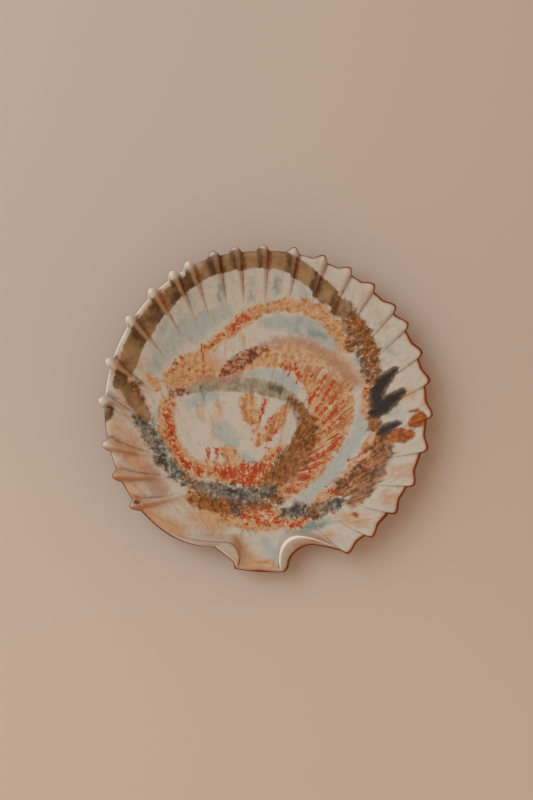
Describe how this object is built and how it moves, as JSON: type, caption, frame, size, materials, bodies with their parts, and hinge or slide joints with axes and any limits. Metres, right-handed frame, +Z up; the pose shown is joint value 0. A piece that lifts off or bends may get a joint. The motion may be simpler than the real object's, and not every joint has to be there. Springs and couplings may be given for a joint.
{
  "type": "shell dish",
  "caption": "Shallow scallop-shell serving dish in glazed stoneware, with a pleated rim, a flat foot and a short open neck between folded ears.",
  "frame": {"origin": "centre of the foot's flat face, on the surface that the dish rests on", "axes": "+Z up out of the open side of the dish, -Y towards the neck, +X to the right of the neck seen from above"},
  "size_m": [0.3209, 0.3169, 0.048],
  "materials": {
    "glaze": "glossy cream, blue, orange and brown reactive glaze"
  },
  "bodies": {
    "root": {"shell_dish": "glaze"}
  },
  "joints": []
}
